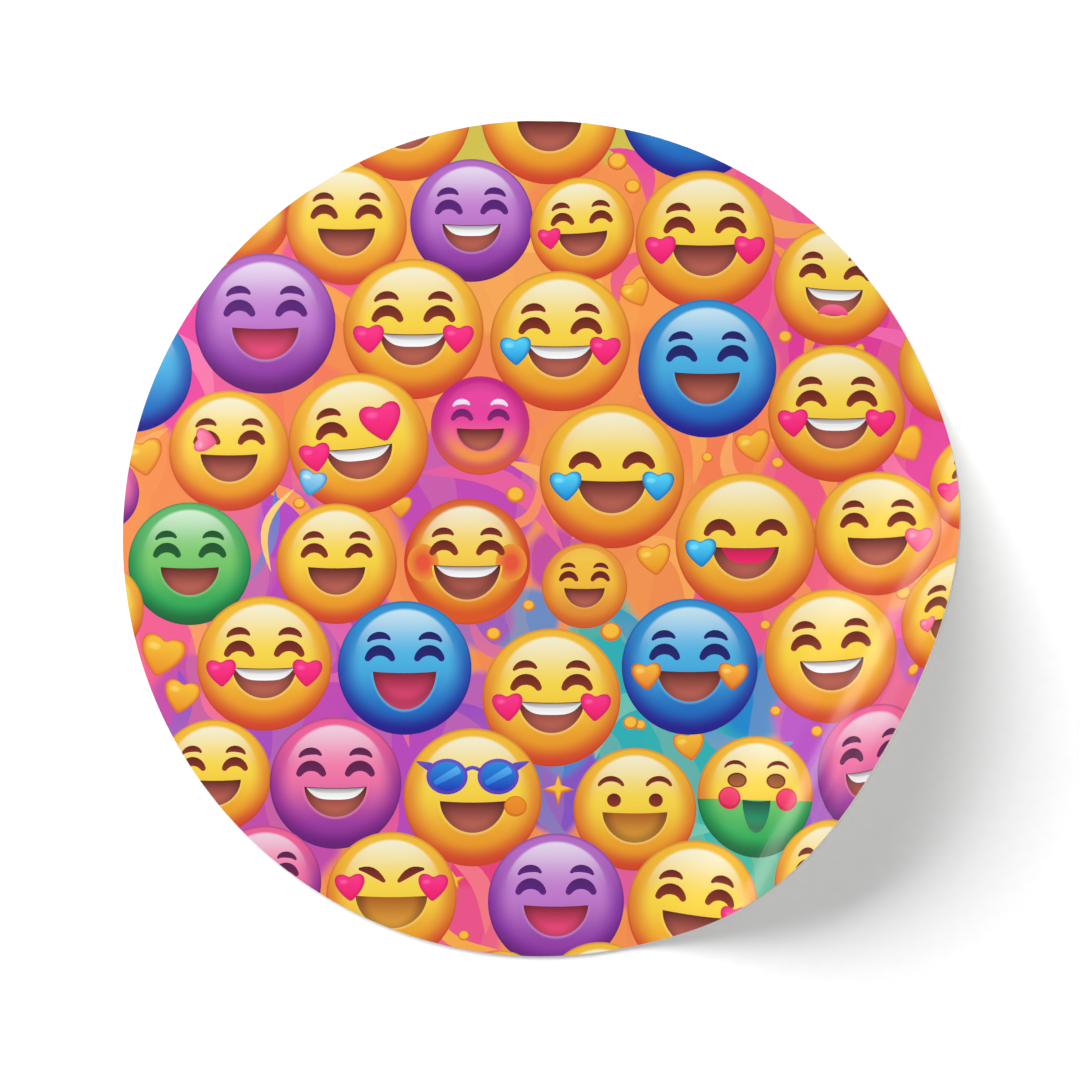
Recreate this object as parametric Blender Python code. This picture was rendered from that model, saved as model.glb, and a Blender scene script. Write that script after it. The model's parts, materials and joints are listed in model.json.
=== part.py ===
# A round gloss sticker on a split release liner, with one edge curling up.
#
# The sheet is a stack of thin layers: release liner, adhesive, printed film and clear laminate.
# It is worked out in the sheet's own frame: X runs across the sheet towards the curling edge,
# Y runs along the fold lines, and Z is up from the surface that the sticker lies on. The top
# empty turns the whole sheet about Z so that the print is upright along +Y.
#
# A sheet that flexes is cut across into strips, and each strip is hinged to the one before it
# on the middle of the stack: two strips near the far edge, where the sticker peels up off its
# main liner, and six strips in the curl.

import math

import bmesh
import bpy
from mathutils import Matrix, Vector

# Driving dimensions, in metres unless the name says otherwise.
DISC_RADIUS = 0.0381
CURL_DIRECTION_DEG = -27.0

LINER_THICKNESS = 0.00009
ADHESIVE_THICKNESS = 0.00002
FILM_THICKNESS = 0.00007
LAMINATE_THICKNESS = 0.00003
LAYER_GAP = 0.00001

SLIT_AT = 0.45 * DISC_RADIUS
STRIP_GAP = 0.0002

CURL_START = 0.61 * DISC_RADIUS
CURL_RADIUS = 0.30 * DISC_RADIUS
CURL_STRIPS = 6
FACETS_PER_STRIP = 4

PEEL_START = -0.92 * DISC_RADIUS
PEEL_STRIP_WIDTH = 0.003
PEEL_STRIPS = 2

RIM_SEGMENTS = 180
CUT_TOLERANCE = 1e-8
PIVOT_SIZE = 0.002

# The layers from the bottom up: thickness, colour and roughness.
LAYERS = {
    "liner": (LINER_THICKNESS, (0.86, 0.84, 0.78, 1.0), 0.55),
    "adhesive": (ADHESIVE_THICKNESS, (0.80, 0.80, 0.76, 1.0), 0.30),
    "film": (FILM_THICKNESS, (0.95, 0.60, 0.25, 1.0), 0.45),
    "laminate": (LAMINATE_THICKNESS, (0.92, 0.94, 0.96, 1.0), 0.08),
}
STICKER_LAYERS = ("adhesive", "film", "laminate")

STACK_HEIGHT = sum(layer[0] for layer in LAYERS.values()) + LAYER_GAP * (len(LAYERS) - 1)
STACK_MIDDLE = STACK_HEIGHT / 2
STICKER_MIDDLE = (LINER_THICKNESS + LAYER_GAP + STACK_HEIGHT) / 2
CURL_STRIP_WIDTH = (DISC_RADIUS - CURL_START) / CURL_STRIPS
FLAT_START = PEEL_START + PEEL_STRIPS * PEEL_STRIP_WIDTH


def clear_scene():
    for thing in list(bpy.data.objects):
        bpy.data.objects.remove(thing, do_unlink=True)


def layer_heights(layer):
    """Lowest and highest height of a layer in the flat stack."""
    names = list(LAYERS)
    below = names[: names.index(layer)]
    low = sum(LAYERS[name][0] + LAYER_GAP for name in below)
    return low, low + LAYERS[layer][0]


def layer_material(layer):
    colour, roughness = LAYERS[layer][1:]
    material = bpy.data.materials.new(layer)
    material.use_nodes = True
    shader = material.node_tree.nodes["Principled BSDF"]
    shader.inputs["Base Color"].default_value = colour
    shader.inputs["Roughness"].default_value = roughness
    shader.inputs["Metallic"].default_value = 0.0
    return material


def curled(place):
    """Where a point of the flat sheet lies once the sheet is rolled up past the curl's start."""
    if place.x <= CURL_START:
        return place.copy()
    angle = (place.x - CURL_START) / CURL_RADIUS
    reach = CURL_RADIUS - (place.z - STACK_MIDDLE)
    rolled_x = CURL_START + reach * math.sin(angle)
    rolled_z = STACK_MIDDLE + CURL_RADIUS - reach * math.cos(angle)
    return Vector((rolled_x, place.y, rolled_z))


def cut_across(bm, at):
    """Adds a cross line of edges round the solid at X = at."""
    bmesh.ops.bisect_plane(
        bm,
        geom=bm.verts[:] + bm.edges[:] + bm.faces[:],
        dist=CUT_TOLERANCE,
        plane_co=(at, 0, 0),
        plane_no=(1, 0, 0),
    )


def trim_beyond(bm, at, side):
    """Removes the solid past X = at on one side, -1 or 1, and closes the cut."""
    bmesh.ops.bisect_plane(
        bm,
        geom=bm.verts[:] + bm.edges[:] + bm.faces[:],
        dist=CUT_TOLERANCE,
        plane_co=(at, 0, 0),
        plane_no=(side, 0, 0),
        clear_outer=True,
    )
    open_edges = [edge for edge in bm.edges if edge.is_boundary]
    bmesh.ops.holes_fill(bm, edges=open_edges, sides=0)


def layer_solid(layer, start, end, facet_lines=()):
    """One layer of the round sheet between two cross lines, as a closed bmesh in the sheet's frame."""
    low, high = layer_heights(layer)
    bm = bmesh.new()
    bmesh.ops.create_cone(
        bm,
        cap_ends=True,
        segments=RIM_SEGMENTS,
        radius1=DISC_RADIUS,
        radius2=DISC_RADIUS,
        depth=high - low,
        matrix=Matrix.Translation((0, 0, (low + high) / 2)),
    )
    if start > -DISC_RADIUS:
        trim_beyond(bm, start, -1)
    if end < DISC_RADIUS:
        trim_beyond(bm, end, 1)
    for line in facet_lines:
        cut_across(bm, line)
    for vertex in bm.verts:
        vertex.co = curled(vertex.co)
    bmesh.ops.recalc_face_normals(bm, faces=bm.faces)
    return bm


def add_node(name, layer, bm, pivot, pivot_place, look):
    """Makes the node's object, with its origin on its pivot's fold line."""
    bmesh.ops.translate(bm, verts=bm.verts, vec=-pivot_place)
    mesh = bpy.data.meshes.new(name)
    bm.to_mesh(mesh)
    bm.free()
    mesh.materials.append(look["materials"][layer])
    node = bpy.data.objects.new(name, mesh)
    look["collection"].objects.link(node)
    node.parent = pivot
    return node


def add_pivot(name, parent, place, parent_place, look):
    """An empty on a fold line, hung from the pivot before it."""
    pivot = bpy.data.objects.new(name, None)
    pivot.empty_display_size = PIVOT_SIZE
    look["collection"].objects.link(pivot)
    pivot.parent = parent
    pivot.location = place - parent_place
    return pivot


def build_backing(base, look):
    """The main liner, and the end of the sticker that stays stuck to it."""
    origin = Vector((0, 0, 0))
    slit_edge = SLIT_AT - STRIP_GAP / 2
    liner = layer_solid("liner", -DISC_RADIUS, slit_edge)
    add_node("liner_main", "liner", liner, base, origin, look)
    for layer in STICKER_LAYERS:
        stuck = layer_solid(layer, -DISC_RADIUS, PEEL_START - STRIP_GAP / 2)
        add_node(f"{layer}_stuck_end", layer, stuck, base, origin, look)


def build_peel(base, look):
    """The strips that bend as the sticker comes up off the main liner. Returns the last pivot."""
    pivot = base
    pivot_place = Vector((0, 0, 0))
    for number in range(1, PEEL_STRIPS + 1):
        fold = PEEL_START + (number - 1) * PEEL_STRIP_WIDTH
        place = Vector((fold, 0, STICKER_MIDDLE))
        pivot = add_pivot(f"peel_pivot_{number}", pivot, place, pivot_place, look)
        pivot_place = place
        start = fold + STRIP_GAP / 2
        end = fold + PEEL_STRIP_WIDTH - STRIP_GAP / 2
        for layer in STICKER_LAYERS:
            strip = layer_solid(layer, start, end)
            add_node(f"{layer}_peel_{number}", layer, strip, pivot, pivot_place, look)
    return pivot, pivot_place


def build_flat(parent, parent_place, look):
    """The flat middle of the sticker, with the flat stretch of the liner's tab."""
    place = Vector((FLAT_START, 0, STICKER_MIDDLE))
    pivot = add_pivot("sticker_pivot", parent, place, parent_place, look)
    end = CURL_START - STRIP_GAP / 2
    for layer in STICKER_LAYERS:
        flat = layer_solid(layer, FLAT_START + STRIP_GAP / 2, end)
        add_node(f"{layer}_flat", layer, flat, pivot, place, look)
    tab = layer_solid("liner", SLIT_AT + STRIP_GAP / 2, end)
    add_node("liner_tab_flat", "liner", tab, pivot, place, look)
    return pivot, place


def build_curl(parent, parent_place, look):
    """The curling edge: every layer, in strips that each turn a little further up."""
    facet = CURL_STRIP_WIDTH / FACETS_PER_STRIP
    pivot = parent
    pivot_place = parent_place
    for number in range(1, CURL_STRIPS + 1):
        fold = CURL_START + (number - 1) * CURL_STRIP_WIDTH
        place = curled(Vector((fold, 0, STACK_MIDDLE)))
        pivot = add_pivot(f"curl_pivot_{number}", pivot, place, pivot_place, look)
        pivot_place = place
        start = fold + STRIP_GAP / 2
        end = fold + CURL_STRIP_WIDTH - STRIP_GAP / 2
        if number == CURL_STRIPS:
            end = DISC_RADIUS
        facet_lines = [fold + step * facet for step in range(1, FACETS_PER_STRIP)]
        for layer in LAYERS:
            kind = "liner_tab" if layer == "liner" else layer
            strip = layer_solid(layer, start, end, facet_lines)
            add_node(f"{kind}_curl_{number}", layer, strip, pivot, pivot_place, look)


def main():
    clear_scene()
    collection = bpy.data.collections.new("round_sticker")
    bpy.context.scene.collection.children.link(collection)
    look = {
        "collection": collection,
        "materials": {layer: layer_material(layer) for layer in LAYERS},
    }
    base = bpy.data.objects.new("sheet_frame", None)
    base.rotation_euler.z = math.radians(CURL_DIRECTION_DEG)
    base.empty_display_size = PIVOT_SIZE
    collection.objects.link(base)

    build_backing(base, look)
    peel_pivot, peel_place = build_peel(base, look)
    flat_pivot, flat_place = build_flat(peel_pivot, peel_place, look)
    build_curl(flat_pivot, flat_place, look)


main()
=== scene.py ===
import json
import math

import bmesh
import bpy
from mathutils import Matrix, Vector
from mathutils.geometry import delaunay_2d_cdt


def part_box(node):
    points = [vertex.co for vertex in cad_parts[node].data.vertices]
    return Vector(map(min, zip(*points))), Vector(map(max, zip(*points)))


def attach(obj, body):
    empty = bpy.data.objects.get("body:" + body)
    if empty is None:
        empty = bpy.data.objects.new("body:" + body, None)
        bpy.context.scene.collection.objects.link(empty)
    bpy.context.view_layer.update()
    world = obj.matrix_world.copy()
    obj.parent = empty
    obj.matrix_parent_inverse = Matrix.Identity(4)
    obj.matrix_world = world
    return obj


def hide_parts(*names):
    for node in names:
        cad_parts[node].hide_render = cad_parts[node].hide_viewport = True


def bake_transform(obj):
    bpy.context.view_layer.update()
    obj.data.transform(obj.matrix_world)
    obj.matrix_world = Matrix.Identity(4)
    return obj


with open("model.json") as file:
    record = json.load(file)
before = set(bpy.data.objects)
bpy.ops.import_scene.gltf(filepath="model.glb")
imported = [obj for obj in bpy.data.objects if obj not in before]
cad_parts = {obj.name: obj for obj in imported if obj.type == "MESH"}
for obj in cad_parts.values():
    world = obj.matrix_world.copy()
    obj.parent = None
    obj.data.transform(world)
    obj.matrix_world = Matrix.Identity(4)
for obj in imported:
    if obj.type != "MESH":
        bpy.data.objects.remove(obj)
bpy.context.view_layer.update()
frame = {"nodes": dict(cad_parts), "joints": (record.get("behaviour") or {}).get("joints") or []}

# A round gloss sticker: printed vinyl under a clear laminate, glue and a split paper backing.
# The sheet is laid out flat, in its own frame (across towards the curl, along the folds, height),
# and every finished piece is then rolled up where the sheet curls.

mm = 0.001
tiny = 1e-7  # cuts closer together than this are one cut, in metres


# The sheet, read from the frame

def hinge(name):
    return next(joint for joint in frame["joints"] if joint["name"] == name)


foldAxis = Vector(hinge("curl_1")["axis"])
across = Vector((-foldAxis.y, foldAxis.x, 0)).normalized()  # flat direction towards the curling edge
along = Vector((-across.y, across.x, 0))  # flat direction along the folds


def foldAt(name):
    place = Vector(hinge(name)["pos_m"])
    return place.dot(across), place.z


curlStart, stackMiddle = foldAt("curl_1")
nextFold, nextHeight = foldAt("curl_2")
halfTurn = math.atan2(nextHeight - stackMiddle, nextFold - curlStart)
curlRadius = math.hypot(nextHeight - stackMiddle, nextFold - curlStart) / (2 * math.sin(halfTurn))
stripWidth = 2 * halfTurn * curlRadius
peelStart = foldAt("peel_1")[0]
peelWidth = foldAt("peel_2")[0] - peelStart
discRadius = max(v.co.xy.length for v in frame["nodes"]["liner_main"].data.vertices)
slitAt = max(v.co.dot(across) for v in frame["nodes"]["liner_main"].data.vertices)


def heights(node):
    low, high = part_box(node)
    return low.z, high.z


def rolled(place):
    # where a point of the flat sheet lies once the edge is rolled up
    reach, side, height = place
    if reach > curlStart:
        turn = (reach - curlStart) / curlRadius
        arm = curlRadius - (height - stackMiddle)
        reach = curlStart + arm * math.sin(turn)
        height = stackMiddle + curlRadius - arm * math.cos(turn)
    return across * reach + along * side + Vector((0, 0, height))


curlFolds = [curlStart + k * stripWidth for k in range(6)]
peelFolds = [peelStart + k * peelWidth for k in range(3)]

# Each stretch of the sticker: its name, where it ends, the two bodies it bends between and the fold.
# Stretches meet half way between two folds, where the sheet turns with one body alone.
stretches = [
    ("stuck_end", peelFolds[0] + peelWidth / 2, "backing", "peel_strip_1", peelFolds[0], peelWidth),
    ("peel_bend", peelFolds[1] + peelWidth / 2, "peel_strip_1", "peel_strip_2", peelFolds[1], peelWidth),
    ("middle", curlFolds[0] - stripWidth / 2, "peel_strip_2", "sticker", peelFolds[2], peelWidth),
]
for k, fold in enumerate(curlFolds):
    before = "sticker" if k == 0 else f"curl_strip_{k}"
    end = discRadius if k == 5 else fold + stripWidth / 2
    stretches.append((f"curl_{k + 1}", end, before, f"curl_strip_{k + 1}", fold, stripWidth))

sheetDetail = {
    "rimPoints": 360,
    "facetsPerStrip": 16,  # in the curl
    "facetsPerPeelFold": 10,
    "sharpAngle": math.radians(35),
}


def evenly(start, end, count):
    return [start + (end - start) * k / count for k in range(count + 1)]


# from half a strip before the curl's first fold to the rim
curlSteps = int((len(curlFolds) + 0.5) * sheetDetail["facetsPerStrip"])
curlFacets = evenly(curlFolds[0] - stripWidth / 2, discRadius, curlSteps)[:-1]
peelFacets = []
for fold in peelFolds:
    peelFacets += evenly(fold - peelWidth / 2, fold + peelWidth / 2, sheetDetail["facetsPerPeelFold"])[:-1]
peelFacets.append(peelFolds[2] + peelWidth / 2)


def facetsBetween(start, end):
    return [line for line in peelFacets + curlFacets if start + tiny < line < end - tiny]


print("sheet: radius %.2f mm, curl from %.2f mm" % (discRadius / mm, curlStart / mm))


# Inks, and helpers for shader nodes

def ink(code):
    # a colour from its web code, as the linear values that shaders use
    values = [int(code[k:k + 2], 16) / 255 for k in (1, 3, 5)]
    return tuple(v / 12.92 if v <= 0.04045 else ((v + 0.055) / 1.055) ** 2.4 for v in values) + (1.0,)


printTone = {"gain": 1.22, "lift": 0.022}  # how the studio light brightens an ink, and the film's own shine


def printed(code):
    # the ink that looks like this colour under the laminate and the studio light
    return tuple(max(v - printTone["lift"], 0.001) / printTone["gain"] for v in ink(code)[:3]) + (1.0,)


def inks(*codes):
    return [printed(code) for code in codes]


def newMaterial(name):
    material = bpy.data.materials.new(name)
    material.use_nodes = True
    return material, material.node_tree, material.node_tree.nodes["Principled BSDF"]


def join(tree, socket, value):
    if hasattr(value, "is_output"):
        tree.links.new(value, socket)
    else:
        socket.default_value = value


def dress(tree, node, values):
    # sets or joins many of a node's inputs, by name
    for name, value in values.items():
        join(tree, node.inputs[name], value)


def maths(tree, operation, a, b=0.0, c=0.0):
    node = tree.nodes.new("ShaderNodeMath")
    node.operation = operation
    for socket, value in zip(node.inputs, (a, b, c)):
        join(tree, socket, value)
    return node.outputs[0]


def vectorMaths(tree, operation, *values):
    node = tree.nodes.new("ShaderNodeVectorMath")
    node.operation = operation
    sockets = (0, 3) if operation == "SCALE" else (0, 1, 2)  # the scale is the last socket
    for k, value in zip(sockets, values):
        join(tree, node.inputs[k], value)
    return node.outputs["Value" if operation == "DISTANCE" else "Vector"]


def fade(tree, value, start, end):
    # 0 at start and 1 at end, with soft ends
    node = tree.nodes.new("ShaderNodeMapRange")
    node.interpolation_type = "SMOOTHSTEP"
    dress(tree, node, {"Value": value, "From Min": start, "From Max": end})
    return node.outputs["Result"]


def blendInk(tree, amount, under, over):
    node = tree.nodes.new("ShaderNodeMix")
    node.data_type = "RGBA"
    join(tree, node.inputs["Factor"], amount)
    join(tree, node.inputs[6], under)
    join(tree, node.inputs[7], over)
    return node.outputs[2]


def uvMap(tree, name):
    node = tree.nodes.new("ShaderNodeUVMap")
    node.uv_map = name
    return node.outputs[0]


def sheetPlace(tree):
    # flat place on the sheet in millimetres, from the piece's own map
    return vectorMaths(tree, "SCALE", uvMap(tree, "sheetPlace"), 2 * discRadius / mm)


def noise(tree, place, size, detail=2.0, roughness=0.5):
    # size is that of its largest blobs, in millimetres
    node = tree.nodes.new("ShaderNodeTexNoise")
    node.noise_dimensions = "2D"
    dress(tree, node, {"Vector": place, "Scale": 1.0 / size, "Detail": detail, "Roughness": roughness})
    return node


def bump(tree, height, strength, depth):
    node = tree.nodes.new("ShaderNodeBump")
    dress(tree, node, {"Strength": strength, "Distance": depth, "Height": height})
    return node.outputs["Normal"]


laminate = {
    "coatRoughness": 0.17,
    "inkRoughness": 0.6,
    "inkSheen": 0.1,  # specular level of the print under the clear film
    "rippleSize": 2.2,  # the slight waviness of a pressed film, in millimetres
    "rippleDepth": 0.000012,
    "rippleStrength": 0.35,
    "grainSize": 0.11,
    "grainShare": 0.035,
    "smearSize": 6.0,
    "smearShare": 0.12,
    "filmIndex": 1.5,
}


def glossOver(tree, shader, colour):
    # the clear laminate over any ink: gloss coat, faint waviness, and the grain of the print
    place = sheetPlace(tree)
    grain = noise(tree, place, laminate["grainSize"], 1.0)
    share = maths(tree, "MULTIPLY_ADD", grain.outputs["Fac"], laminate["grainShare"],
                  1.0 - laminate["grainShare"] / 2)
    smear = noise(tree, place, laminate["smearSize"], 3.0)
    rough = maths(tree, "MULTIPLY_ADD", smear.outputs["Fac"], laminate["smearShare"],
                  laminate["inkRoughness"] - laminate["smearShare"] / 2)
    ripple = noise(tree, place, laminate["rippleSize"], 2.0)
    normal = bump(tree, ripple.outputs["Fac"], laminate["rippleStrength"], laminate["rippleDepth"])
    dress(tree, shader, {
        "Base Color": vectorMaths(tree, "SCALE", colour, share),
        "Roughness": rough,
        "Normal": normal,
        "Specular IOR Level": laminate["inkSheen"],
        "Coat Weight": 1.0,
        "Coat Roughness": laminate["coatRoughness"],
        "Coat IOR": laminate["filmIndex"],
        "Coat Normal": normal,
    })


# The inks of each kind of printed ball: upper and lower body, top and side of its rim, low shade,
# edge line and pale cap
ballParts = ("upper", "lower", "rimTop", "rimSide", "low", "edge", "cap")
ballInks = {
    "yellow": ("#F3D34A", "#E89B30", "#EEB83C", "#DD8034", "#D04A32", "#B4462A", "#F1EDD0"),
    "purple": ("#C07CCC", "#9142A4", "#B26CC2", "#863AA0", "#681A76", "#581468", "#E4D6EB"),
    "blue": ("#4EB0DF", "#296EBF", "#3691CE", "#2E52AC", "#2E2A8E", "#341E7C", "#C4E2F0"),
    "green": ("#7AC56C", "#3AA85A", "#5EB46C", "#229352", "#1C6C42", "#1C563E", "#D0E9D0"),
    "berry": ("#EE76A5", "#973E9E", "#E96296", "#963892", "#6A1A7A", "#5C1468", "#ECCEDE"),
    "sunset": ("#E4469E", "#F19644", "#BE2C86", "#C03680", "#D55C38", "#BE3C3C", "#EC66B4"),
    "ember": ("#F2CE50", "#E2832C", "#D66438", "#CE4232", "#D85A2E", "#C4402C", "#F1ECD0"),
    "amber": ("#EFBC42", "#DF8C3C", "#E49642", "#DB8032", "#CE6032", "#B44628", "#F4D05A"),
}
capShares = {"sunset": 0.15, "amber": 0.6}  # how strongly the cap shows, where it isn't fully
# How they are shaded, in ball units: heights and distances from the middle between which inks blend
ballShade = {
    "bodyHeights": (0.2, -0.7),
    "rimHeights": (-0.1, 0.85),
    "rimRing": (0.62, 0.97),
    "lowCentre": 0.35,
    "lowRing": (1.0, 1.3),
    "capCentre": 0.125,
    "capRing": (0.775, 0.725),
    "capHeights": (0.0, 0.95),
    "capPower": 1.6,
    "edgeRing": (0.95, 1.0),
    "edgeShare": 0.5,
}


def ballLook(kind):
    return {part: printed(code) for part, code in zip(ballParts, ballInks[kind])}


def fromPoint(tree, x, y, centreY):
    raised = maths(tree, "SUBTRACT", y, centreY)
    squares = maths(tree, "ADD", maths(tree, "MULTIPLY", x, x), maths(tree, "MULTIPLY", raised, raised))
    return maths(tree, "SQRT", squares)


def ballMap(tree):
    parts = tree.nodes.new("ShaderNodeSeparateXYZ")
    tree.links.new(uvMap(tree, "ballPlace"), parts.inputs[0])
    return parts.outputs["X"], parts.outputs["Y"]


def cornerInk(tree):
    node = tree.nodes.new("ShaderNodeAttribute")
    node.attribute_name = "inkColour"
    return node.outputs["Color"]


def ballMaterial(name):
    look = ballLook(name)
    material, tree, shader = newMaterial(f"{name}BallInk")
    x, y = ballMap(tree)
    out = fromPoint(tree, x, y, 0.0)
    body = blendInk(tree, fade(tree, y, *ballShade["bodyHeights"]), look["upper"], look["lower"])
    rim = blendInk(tree, fade(tree, y, *ballShade["rimHeights"]), look["rimSide"], look["rimTop"])
    body = blendInk(tree, fade(tree, out, *ballShade["rimRing"]), body, rim)
    below = fade(tree, fromPoint(tree, x, y, ballShade["lowCentre"]), *ballShade["lowRing"])
    body = blendInk(tree, below, body, look["low"])
    height = maths(tree, "POWER", fade(tree, y, *ballShade["capHeights"]), ballShade["capPower"])
    inside = fade(tree, fromPoint(tree, x, y, ballShade["capCentre"]), *ballShade["capRing"])
    cap = maths(tree, "MULTIPLY", maths(tree, "MULTIPLY", inside, height), capShares.get(name, 1.0))
    body = blendInk(tree, cap, body, look["cap"])
    edge = maths(tree, "MULTIPLY", fade(tree, out, *ballShade["edgeRing"]), ballShade["edgeShare"])
    body = blendInk(tree, edge, body, look["edge"])
    glossOver(tree, shader, body)
    return material


def featureMaterial():
    material, tree, shader = newMaterial("featureInk")
    glossOver(tree, shader, cornerInk(tree))
    return material


mouthShade = {"ring": (0.66, 1.04), "share": 0.5, "ink": "#50201E"}


def mouthMaterial():
    # the inside of a mouth is its own two inks, darker all round its edge
    material, tree, shader = newMaterial("mouthInk")
    x, y = ballMap(tree)
    wide = maths(tree, "DIVIDE", x, mouth["halfWidth"])
    deep = maths(tree, "DIVIDE", maths(tree, "SUBTRACT", y, mouth["y"]), mouth["depth"])
    ring = fade(tree, fromPoint(tree, wide, deep, 0.0), *mouthShade["ring"])
    shade = maths(tree, "MULTIPLY", ring, mouthShade["share"])
    glossOver(tree, shader, blendInk(tree, shade, cornerInk(tree), printed(mouthShade["ink"])))
    return material


background = {
    "ink": "#F08C52",
    "swirlSize": 7.0,  # in millimetres
    "swirlPush": 3.4,  # the most that a swirl moves a patch's edge
    "patchBlur": 0.5,
    "ribbonInk": "#FFC45A",
    "ribbonScale": 0.045,
    "ribbonBend": 6.0,
    "ribbonLine": (0.62, 0.66),
    "ribbonShare": 0.09,
}
# Patches of the printed background: place across and up the print, size in millimetres, colour.
backPatches = [
    (-12, 27, 8, "#F3A055"), (-6, 35, 6, "#ECA04E"), (-5.5, 37, 3.2, "#CDBE52"),
    (7.6, 36.5, 3.4, "#C9BE50"), (21, 30, 6, "#EA5A94"), (20.5, 23, 6, "#EA5092"), (31, 18, 10, "#DD4098"),
    (9, 23, 4.5, "#F59A52"), (18, 8.5, 5, "#F47F56"), (24, 5.5, 4, "#EE5A88"), (34, 9, 6, "#DF4496"),
    (-33, 16, 7.5, "#E94C9E"), (-20, 24.5, 4, "#EC5A8E"), (-21, 12.5, 4, "#F07A5C"), (-3, 23, 5, "#F2A358"),
    (-3, 13.5, 4, "#F1875A"), (-7, 3.5, 6.5, "#C04CB2"), (-25, 3, 6, "#E35D94"), (-23, 1, 3.4, "#B44CC0"),
    (-36, 7, 4, "#F08A50"), (12, -3, 6, "#EE8E52"), (1.5, -1.8, 3, "#C452A0"), (20, -6.5, 6, "#EA5A92"),
    (25.5, -5, 4, "#EC6485"), (33.5, -5, 4.5, "#F08C5C"), (33, -12.5, 5.5, "#DF5A98"),
    (35, -11.5, 2.6, "#B850BC"), (6.3, -8.6, 3.4, "#54AFA6"), (9, -15, 7.5, "#35AEB4"),
    (15, -20, 6, "#38B0B2"), (13.5, -27.5, 4.5, "#3EB4A8"), (20.5, -29.5, 4.5, "#4AB49C"),
    (20.6, -14.6, 4, "#2C88CC"), (24.8, -17, 3.6, "#B455C0"), (26, -24.5, 4.5, "#9E54C4"),
    (-1.5, -7.6, 3.4, "#6E8CC0"), (-5.5, -7.5, 3, "#A060B8"), (-35, -9, 6.5, "#EE6292"),
    (-31.5, -16, 5, "#C453A8"), (-25, -6, 4, "#C25AB2"), (-19, -7, 6, "#BA4CB6"),
    (-18.6, -15.5, 5.5, "#BE4EB2"), (-12.5, -21, 7, "#B54CB8"), (-6, -16.5, 4, "#B050B8"),
    (-25, -18, 4.5, "#A850BC"), (-23, -27, 5.5, "#C050A8"), (1, -22.5, 4.2, "#8656C0"),
    (1.8, -19.2, 2, "#4C86CC"), (-6.6, -31.5, 5, "#E6457E"), (-7.5, -36, 4, "#E8568A"),
    (9, -30.5, 3.6, "#DC4CA0"),
]
# Swooshes over those patches: from, to, width in millimetres, how far they bow, colour.
swooshes = [
    (-36, 19, -30, 12, 1.8, 0.2, "#F274B4"), (-22, 24, -14, 12, 2.2, 0.15, "#F4A04E"),
    (-12, 14, -1, 15, 1.4, -0.2, "#F5A85C"), (-4, 26, 6, 22, 1.8, 0.25, "#F8B65E"),
    (-13, 34, -9, 23, 2.0, 0.2, "#F8B058"), (6.3, 35.5, 9.8, 30.5, 1.7, 0.25, "#E64C9C"),
    (18, 31.5, 26, 28.5, 1.7, -0.2, "#F2A05C"), (21, 27, 24, 16, 1.7, 0.2, "#F39058"),
    (28, 19, 37, 11, 1.6, 0.25, "#F068AE"), (21, 9, 27, 2, 1.7, 0.2, "#F59A5C"),
    (31, 11, 37, 3, 1.5, -0.2, "#F070AC"), (9, 13, 14, 5, 1.7, 0.3, "#F6A65A"),
    (7, 21, 11, 26, 1.5, 0.3, "#EC5C8C"), (-11, 6, 2, -1, 1.9, 0.2, "#E45EA2"),
    (-3, 7, 3, 0, 1.6, 0.2, "#F5AC62"), (-5, 1, 0, 6, 1.0, -0.3, "#F48E6C"),
    (-27, 5, -20, -1, 1.3, 0.2, "#F59A5E"), (-24.2, 4.5, -26.6, -4, 1.0, 0.1, "#5C7CD0"),
    (-22.5, 4.5, -24.6, -3, 0.7, -0.2, "#F8D27A"), (-38, 3, -34, 10, 1.4, 0.2, "#F6A85E"),
    (-37, -5, -31, -12, 1.8, 0.3, "#F59C6A"), (-33, -12, -35, -19, 1.5, 0.2, "#8E52C8"),
    (-27, -17, -31, -13, 1.2, 0.2, "#EC6AA0"), (-23, -5, -17, -13, 2.0, 0.2, "#DA60B2"),
    (-21, -13, -12, -19, 1.5, 0.3, "#D764B0"), (-9, -15, -3, -21, 1.5, 0.2, "#9A4EC0"),
    (-6.5, -7, -1, -10, 1.2, -0.3, "#D26AA8"), (-13, -24, -19, -30, 1.6, 0.2, "#E0569E"),
    (0, -18, 3, -28, 1.7, -0.2, "#5B74CC"), (5.5, -6, 9, -13, 1.9, 0.2, "#2F9EC0"),
    (5, -20, 12, -15, 1.9, 0.3, "#5CC4B6"), (14, -16.5, 23, -18.5, 1.9, -0.2, "#3FA0D0"),
    (22.5, -12, 28, -19, 1.7, 0.2, "#DA5CAE"), (32.5, -2, 35.5, -10, 1.8, 0.2, "#F8B66C"),
    (29.5, -14.5, 36, -8.5, 1.6, 0.3, "#EE66AC"), (10, -30, 16, -26.5, 1.6, 0.2, "#66C6B2"),
    (-9, -28.5, -5, -36, 1.7, 0.2, "#F2748C"), (-10.5, -33, -4, -37.5, 1.1, -0.2, "#F4B04C"),
    (8, 0, 13.5, -6.5, 1.9, 0.3, "#F6AA5C"), (19, -4, 25, -8.5, 1.7, 0.3, "#F58E66"),
    (17.5, 10, 20.5, 4, 1.3, -0.3, "#F8A868"),
]


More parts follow.
